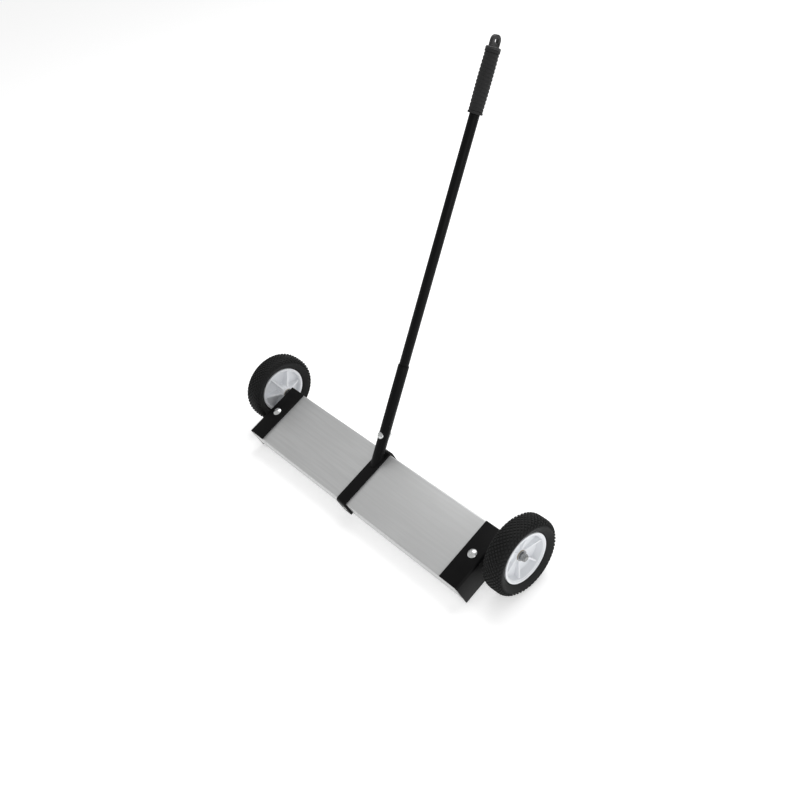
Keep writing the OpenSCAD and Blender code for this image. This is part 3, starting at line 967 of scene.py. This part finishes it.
class SWEEPER_OT_grip(bpy.types.Operator):
    """Moulds the ringed hand grip and the end cap with its hanging hole"""
    bl_idname = "sweeper.grip"
    bl_label = "Hand grip"

    def execute(self, context):
        sizes = context.scene.sweeper_sizes
        tube = extent("handle_tube", HANDLE)[1].x
        low, high = extent("hand_grip", HANDLE)
        grip = mould_grip(sizes, tube, high.x, low.z, high.z)
        complete(grip, HANDLE, "grip_rubber", "hand_grip")
        plug = tube - sizes.tube_wall - 0.1 * MM
        complete(mould_cap(high.x, high.z, plug), HANDLE, "cap_plastic", "end_cap")
        return {"FINISHED"}


def set_lock_nut(name, space, corner, axle, low, high):
    """A hexagon with a rolled collar that holds a nylon ring."""
    collar = 0.68 * (high - low) + low
    flat = corner * cos(pi / 6)
    nut = hexagon(name + "_lock_nut", corner, low, collar)
    crown = [(0.9 * flat, collar - 1 * MM), (0.9 * flat, high - 1.5 * MM)]
    crown += arc(0.9 * flat - 1.5 * MM, high - 1.5 * MM, 1.5 * MM, 15, 90, 5)
    inner = axle + 1.4 * MM
    crown += [(inner, high), (inner, collar - 1 * MM)]
    bored(nut, axle, low, collar)
    combine(nut, lathe("crown", crown, steps=64, ring=True), "UNION")
    # The darker zinc on the lock nut is painted shade for the hub's dish
    complete(nut, space, "zinc", "axle_lock_nuts", look="dull_zinc")
    insert = washer(name + "_lock_nut_insert", inner, axle, collar + 0.5 * MM, high - 0.4 * MM)
    complete(insert, space, "cap_plastic")


def press_bushings(name, space, sizes):
    for end, way in (("inner", 1), ("outer", -1)):
        node = f"{name}_{end}_bushing"
        low, high = extent(node, space)
        face, tail = (low.z, high.z) if way > 0 else (high.z, low.z)
        back = face + way * sizes.bush_flange
        bore, barrel = sizes.axle + 0.05 * MM, 0.75 * high.y
        outline = [(bore, face), (high.y, face), (high.y, back), (barrel, back),
                   (barrel, tail), (bore, tail)]
        bush = lathe(f"{name}_{end}_bush", outline, steps=64, ring=True)
        ease_edges(bush, 0.3 * MM, sharper_than=60)
        complete(bush, space, "bearing_bronze", node, body=name + "_wheel")


class SWEEPER_OT_axles(bpy.types.Operator):
    """Turns the axle bolts with their nuts, washers and bushings"""
    bl_idname = "sweeper.axles"
    bl_label = "Axles"

    def execute(self, context):
        sizes = context.scene.sweeper_sizes
        for side, name in SIDES.items():
            space = WHEEL[side]
            jam = heights("axle_jam_nuts", space, side)
            lock = heights("axle_lock_nuts", space, side)
            wide, outer = heights("axle_washers", space, side)
            low, high = extent(name + "_axle_bolt", space)
            corner = high.x
            head = hexagon(name + "_axle", corner, low.z, jam[0] - sizes.bracket_steel,
                           (True, False))
            tip = 1 * MM
            shank = lathe("shank", [(0, low.z + 2 * MM), (sizes.axle, low.z + 2 * MM)]
                          + thread(sizes.axle, lock[0], high.z - tip, sizes.thread_pitch)
                          + [(sizes.axle - tip, high.z), (0, high.z)], steps=48)
            combine(head, shank, "UNION")
            # The axle bolt, jam nut and washers take the darker zinc, a painted shade
            complete(head, space, "zinc", name + "_axle_bolt", look="dull_zinc")
            nut = bored(hexagon(name + "_jam_nut", corner, *jam), sizes.axle, *jam)
            complete(nut, space, "zinc", "axle_jam_nuts", look="dull_zinc")
            set_lock_nut(name, space, corner, sizes.axle, *lock)
            radius = extent("axle_washers", space, side)[1].y
            thick = sizes.washer
            for label, start in (("inner", wide), ("outer", outer - thick)):
                ring = washer(f"{name}_{label}_washer", radius, sizes.axle + 0.1 * MM,
                              start, start + thick)
                complete(ring, space, "zinc", "axle_washers", look="dull_zinc")
            press_bushings(name, space, sizes)
        return {"FINISHED"}


def turn_hub(name, space, sizes):
    """Rim, web and boss in one turned shape, with draft on the walls of both dishes."""
    rim_low, rim_high = extent(name + "_hub_rim", space)
    web_low, web_high = heights(name + "_hub_web", space)
    boss_low, boss_high = extent(name + "_hub_boss", space)
    rim, boss = rim_high.y, boss_high.y
    bore, lip, draft = sizes.boss_bore, sizes.rim_lip, 1 * MM
    inside = rim - lip
    outline = [(bore, boss_low.z), (boss - draft, boss_low.z), (boss, web_low),
               (inside - draft, web_low), (inside, rim_low.z + 2 * MM),
               (inside + 2.5 * MM, rim_low.z), (rim, rim_low.z), (rim, rim_high.z),
               (inside + 2.5 * MM, rim_high.z), (inside + 2 * MM, rim_high.z - 1.6 * MM),
               (inside, rim_high.z - 2.4 * MM), (inside - draft, web_high),
               (boss + draft, web_high), (boss, boss_high.z), (bore, boss_high.z)]
    return lathe(name + "_hub", outline, steps=120, ring=True)


def add_ribs(hub, name, space, sizes, turn):
    """Straight ribs from boss to rim on both faces of the web."""
    root = extent(name + "_hub_boss", space)
    low, high = extent(name + "_hub_ribs", space)
    inner = root[1].y - 2 * MM
    outer = extent(name + "_hub_rim", space)[1].y - sizes.rim_lip + 1 * MM
    rib = box("rib", (inner, -sizes.rib_width / 2, root[0].z + 6 * MM),
              (outer, sizes.rib_width / 2, root[1].z - 1 * MM))
    edit(rib, "VERT")
    pick("verts", lambda v: v.co.x > inner + MM and v.co.z > root[1].z - 2 * MM)
    bpy.ops.transform.translate(value=(0, 0, high.z - root[1].z + 1 * MM))
    pick("verts", lambda v: v.co.x > inner + MM and v.co.z < root[0].z + 7 * MM)
    bpy.ops.transform.translate(value=(0, 0, root[1].z - root[0].z - 21 * MM))
    leave()
    for i in range(sizes.ribs):
        spin = Matrix.Rotation(turn + 2 * pi * i / sizes.ribs, 4, "Z")
        combine(hub, moved(copied(rib, f"rib_{i}"), spin), "UNION")
    bpy.data.objects.remove(rib)


class SWEEPER_OT_hubs(bpy.types.Operator):
    """Moulds the ribbed hubs"""
    bl_idname = "sweeper.hubs"
    bl_label = "Hubs"

    def execute(self, context):
        sizes = context.scene.sweeper_sizes
        for side, name in SIDES.items():
            space = WHEEL[side]
            hub = turn_hub(name, space, sizes)
            turn = getattr(sizes, name + "_ribs")
            add_ribs(hub, name, space, sizes, turn)
            ease_edges(hub, 0.55 * MM, segments=2, sharper_than=40)
            parts = [f"{name}_hub_{part}" for part in ("rim", "web", "boss", "ribs")]
            complete(hub, space, "hub_plastic", *parts, body=name + "_wheel")
        return {"FINISHED"}


def tread_path(sizes, radius, half):
    """Evenly spaced points over shoulder, crown and shoulder at the depth of the grooves."""
    bend = sizes.shoulder - sizes.tread_depth
    crown = 2 * (half - sizes.shoulder)
    whole = crown + 2 * bend * sizes.shoulder_turn
    points = []
    for i in range(2 * sizes.tread_rows + 1):
        run = whole * i / (2 * sizes.tread_rows) - whole / 2
        beyond = max(0.0, abs(run) - crown / 2) / bend
        height = min(abs(run), crown / 2) + bend * sin(beyond)
        points.append((radius - sizes.shoulder + bend * cos(beyond),
                       height if run > 0 else -height))
    return points


def tyre_wall(rim, seat, tread):
    """Points up the outer sidewall, from the crease at the rim to the foot of the tread."""
    start = Vector((rim + 2.2 * MM, seat - 0.8 * MM))
    end = Vector((tread[0] - 1.6 * MM, tread[1] + 1.4 * MM))
    wall = [(rim, seat - 4 * MM), (rim + 1.6 * MM, seat - 4 * MM)]
    for i in range(9):
        share = i / 8
        spot = start.lerp(end, share)
        wall.append((spot.x, spot.y + 0.8 * MM * sin(pi * share)))
    return wall


def cut_tread(tyre, sizes, across):
    """Redraws the squares between the tread's points as diamonds, then raises a lug on each."""
    last, step = len(across) - 1, pi / sizes.tread_pitches

    def row(vertex):
        radius = vertex.co.xy.length
        for number, (far, height) in enumerate(across):
            if abs(far - radius) < 0.01 * MM and abs(height - vertex.co.z) < 0.01 * MM:
                return number
        return None

    def even(vertex):
        return (row(vertex) + round(atan2(vertex.co.y, vertex.co.x) / step)) % 2 == 0

    edit(tyre, "VERT")
    pick("verts", lambda v: row(v) is not None and even(v))
    bpy.ops.mesh.vert_connect()
    pick("verts", lambda v: row(v) not in (None, 0, last) and not even(v))
    bpy.ops.mesh.dissolve_verts()
    pick("edges", lambda edge: {row(v) for v in edge.verts} in ({0, 1}, {last - 1, last})
         and even(edge.verts[0]) != even(edge.verts[1]))
    bpy.ops.mesh.dissolve_edges(use_verts=False)
    pick("faces", lambda face: all(row(v) is not None for v in face.verts))
    bpy.ops.mesh.inset(thickness=sizes.tread_gap / 2, use_individual=True)
    bpy.ops.mesh.inset(thickness=0.35 * MM, depth=sizes.tread_depth - 0.25 * MM,
                       use_individual=True)
    bpy.ops.mesh.inset(thickness=0.35 * MM, depth=0.2 * MM, use_individual=True)
    leave()


class SWEEPER_OT_tyres(bpy.types.Operator):
    """Moulds the tyres and raises a diamond lug on each cell of the tread"""
    bl_idname = "sweeper.tyres"
    bl_label = "Tyres"

    def execute(self, context):
        sizes = context.scene.sweeper_sizes
        for side, name in SIDES.items():
            low, high = extent(name + "_tyre", WHEEL[side])
            rim = extent(name + "_hub_rim", WHEEL[side])[1]
            across = tread_path(sizes, high.y, high.z)
            wall = tyre_wall(rim.y, rim.z, across[-1])
            outline = [(radius, -height) for radius, height in wall] + across + wall[::-1]
            tyre = lathe(name + "_treaded_tyre", outline, steps=2 * sizes.tread_pitches, ring=True)
            cut_tread(tyre, sizes, across)
            complete(tyre, WHEEL[side], "tyre_rubber", name + "_tyre", body=name + "_wheel")
        return {"FINISHED"}


def soft_box(name, place, aim, size, power):
    turn = (Vector(aim) - Vector(place)).to_track_quat("-Z", "Y").to_euler()
    bpy.ops.object.light_add(type="AREA", location=place, rotation=turn)
    light = bpy.context.object
    light.name = light.data.name = name
    light.data.shape = "SQUARE"
    light.data.size = size
    light.data.energy = power


def set_camera(scene, stage):
    view = (Vector(stage.aim) - Vector(stage.camera)).to_track_quat("-Z", "Y").to_matrix()
    turn = view @ Matrix.Rotation(stage.roll, 3, "Z")
    bpy.ops.object.camera_add(location=stage.camera, rotation=turn.to_euler())
    scene.camera = bpy.context.object
    scene.camera.data.lens = stage.lens


class SWEEPER_OT_stage(bpy.types.Operator):
    """Lays a pale floor and sets up soft studio light and the camera"""
    bl_idname = "sweeper.stage"
    bl_label = "Stage"

    def execute(self, context):
        scene, stage = context.scene, context.scene.sweeper_stage
        scene.view_settings.view_transform = "Standard"
        bpy.ops.mesh.primitive_plane_add(size=30)
        floor = named("studio_floor")
        material, tree, shader = blank("studio_floor", Roughness=0.9, Specular_IOR_Level=0.1,
                                       Emission_Color=(1, 1, 1, 1),
                                       Emission_Strength=stage.floor_glow)
        grain = use(tree, "Grain", Fine=40.0, Broad=0.5)
        tint = (*scene.sweeper_colours.floor, 1.0)
        feed(tree, shader,
             Base_Color=blend_colours(tree, grain["Broad"], shade(tint, 0.995), tint))
        floor.data.materials.append(material)
        world = bpy.data.worlds.new("studio_surround")
        world.use_nodes = True
        studio = world.node_tree
        sky = studio.nodes["Background"]
        sky.inputs["Color"].default_value = (1, 1, 1, 1)
        seen = put(studio, "LightPath").outputs["Is Camera Ray"]
        feed(studio, sky, Strength=spread(studio, seen, 0.0, 1.0, stage.surround, 1.0))
        scene.world = world
        soft_box("key_light", (-0.5, 1.5, 2.9), (0, 0, 0), 2.4, stage.key)
        soft_box("fill_light", (2.6, -0.6, 1.4), (0, 0, 0.2), 1.6, stage.fill)
        set_camera(scene, stage)
        return {"FINISHED"}


class SWEEPER_PT_panel(bpy.types.Panel):
    """Lists the steps that build the sweeper"""
    bl_idname = "SWEEPER_PT_panel"
    bl_label = "Magnetic Nail Sweeper"
    bl_space_type = "VIEW_3D"
    bl_region_type = "UI"
    bl_category = "Sweeper"

    def draw(self, context):
        scene = context.scene
        for group in (scene.sweeper_sizes, scene.sweeper_colours, scene.sweeper_stage):
            column = self.layout.column(align=True)
            for name in group.__annotations__:
                column.prop(group, name)
        for step in STEPS:
            self.layout.operator("sweeper." + step)


STEPS = ("housing", "magnet_pack", "brackets", "flange_bolts", "saddle", "socket", "handle",
         "grip", "axles", "hubs", "tyres", "stage")
CLASSES = (SweeperSizes, SweeperColours, SweeperStage, SWEEPER_OT_housing,
           SWEEPER_OT_magnet_pack, SWEEPER_OT_brackets, SWEEPER_OT_flange_bolts,
           SWEEPER_OT_saddle, SWEEPER_OT_socket, SWEEPER_OT_handle, SWEEPER_OT_grip,
           SWEEPER_OT_axles, SWEEPER_OT_hubs, SWEEPER_OT_tyres, SWEEPER_OT_stage,
           SWEEPER_PT_panel)


def register():
    for kind in CLASSES:
        bpy.utils.register_class(kind)
    bpy.types.Scene.sweeper_sizes = PointerProperty(type=SweeperSizes)
    bpy.types.Scene.sweeper_colours = PointerProperty(type=SweeperColours)
    bpy.types.Scene.sweeper_stage = PointerProperty(type=SweeperStage)


def unregister():
    del bpy.types.Scene.sweeper_stage
    del bpy.types.Scene.sweeper_colours
    del bpy.types.Scene.sweeper_sizes
    for kind in reversed(CLASSES):
        bpy.utils.unregister_class(kind)


def main():
    register()
    for step in STEPS:
        getattr(bpy.ops.sweeper, step)()


if __name__ == "__main__":
    main()
